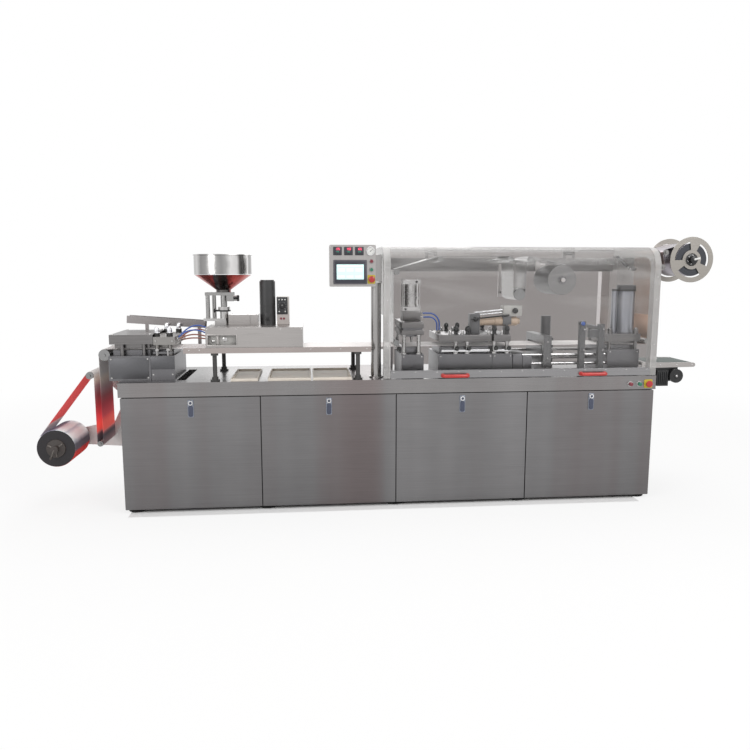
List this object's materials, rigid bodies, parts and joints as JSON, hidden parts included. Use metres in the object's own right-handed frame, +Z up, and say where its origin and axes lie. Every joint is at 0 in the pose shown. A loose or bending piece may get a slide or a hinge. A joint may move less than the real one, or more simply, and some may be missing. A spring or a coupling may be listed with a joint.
{
  "type": "blister packing machine",
  "caption": "Flat-plate blister packing machine: door-panelled cabinet, film roll, forming station, hopper feeder, control panel, clear hood that lifts, waste reel and outfeed conveyor.",
  "frame": {"origin": "floor under the middle of the machine's bounding box", "axes": "+X along the machine from the film roll to the outfeed, -Y out of the working front, +Z up"},
  "size_m": [4.28, 0.752, 1.674],
  "materials": {
    "brushed_panel": "brushed",
    "deck_steel": "brushed",
    "die_steel": "ground",
    "dark_housing": "satin",
    "rubber_pad": "matte",
    "latch_metal": "polished",
    "button_plastic": "gloss",
    "roller_metal": "polished",
    "film_plastic": "gloss",
    "foil_metal": "bright",
    "waste_foil": "bright",
    "polished_steel": "polished",
    "black_paint": "satin",
    "grey_paint": "satin",
    "tray_paint": "satin",
    "screen_plastic": "gloss",
    "instrument_plastic": "matte",
    "clear_sheet": "clear",
    "frame_plastic": "gloss",
    "handle_plastic": "gloss",
    "hose_plastic": "gloss"
  },
  "bodies": {
    "machine": {"levelling_pads": "rubber_pad", "cabinet_body": "dark_housing", "cabinet_panels": "brushed_panel", "door_latches": "latch_metal", "deck_table": "deck_steel", "run_buttons": "button_plastic", "film_stand": "dark_housing", "film_rollers": "roller_metal", "film_web": "film_plastic", "station_bases": "die_steel", "heater_plate": "die_steel", "forming_head": "die_steel", "product_trough": "brushed_panel", "guide_table": "deck_steel", "table_legs": "black_paint", "deck_trays": "tray_paint", "feeder_housing": "brushed_panel", "feeder_motor": "black_paint", "feeder_gearbox": "brushed_panel", "feeder_control": "grey_paint", "hopper": "polished_steel", "hopper_cone": "polished_steel", "hopper_throat": "polished_steel", "hopper_stand": "polished_steel", "hopper_yoke": "polished_steel", "control_post": "brushed_panel", "control_panel": "grey_paint", "panel_screen": "screen_plastic", "panel_instruments": "instrument_plastic", "sealing_head": "die_steel", "sealing_cylinder": "polished_steel", "emboss_head": "die_steel", "marking_unit": "grey_paint", "guide_rods": "roller_metal", "traction_unit": "die_steel", "register_unit": "dark_housing", "punch_head": "die_steel", "punch_cylinder": "dark_housing", "rear_posts": "brushed_panel", "rear_beam": "brushed_panel", "foil_hangers": "brushed_panel", "foil_rollers": "roller_metal", "lidding_foil": "foil_metal", "air_hoses": "hose_plastic", "reel_arm": "brushed_panel", "waste_web": "waste_foil", "outfeed_conveyor": "brushed_panel", "outfeed_motor": "black_paint"},
    "hood": {"hood_frames": "frame_plastic", "hood_glazing": "clear_sheet", "hood_trim": "brushed_panel", "hood_handles": "handle_plastic"},
    "strut_tubes": {"strut_tubes": "black_paint"},
    "strut_rods": {"strut_rods": "roller_metal"},
    "film_reel": {"film_roll": "film_plastic"},
    "foil_reel": {"foil_roll": "foil_metal"},
    "waste_reel": {"waste_roll": "waste_foil", "reel_flanges": "brushed_panel"}
  },
  "joints": [
    {"name": "hood_lift", "type": "hinge", "parent": "machine", "child": "hood", "pos_m": [0.85, 0.32, 1.58], "axis": [-1, 0, 0], "range_deg": [0, 65]},
    {"name": "strut_tilt", "type": "hinge", "parent": "machine", "child": "strut_tubes", "pos_m": [0.85, 0.17, 1.55], "axis": [-1, 0, 0], "range_deg": [0, 96]},
    {"name": "strut_slide", "type": "slide", "parent": "strut_tubes", "child": "strut_rods", "axis": [0, -0.9216, -0.3881], "range_m": [0, 0.101]},
    {"name": "film_roll_spin", "type": "hinge", "parent": "machine", "child": "film_reel", "pos_m": [-2.025, -0.03, 0.377], "axis": [0, 1, 0], "continuous": true},
    {"name": "foil_roll_spin", "type": "hinge", "parent": "machine", "child": "foil_reel", "pos_m": [1.139, -0.03, 1.4], "axis": [0, 1, 0], "continuous": true},
    {"name": "waste_reel_spin", "type": "hinge", "parent": "machine", "child": "waste_reel", "pos_m": [1.995, -0.03, 1.529], "axis": [0, 1, 0], "continuous": true}
  ],
  "couplings": [
    {"joint": "strut_tilt", "follows": "hood_lift", "ratio": 1.4628},
    {"joint": "strut_slide", "follows": "hood_lift", "m_per_rad": 0.088224}
  ]
}
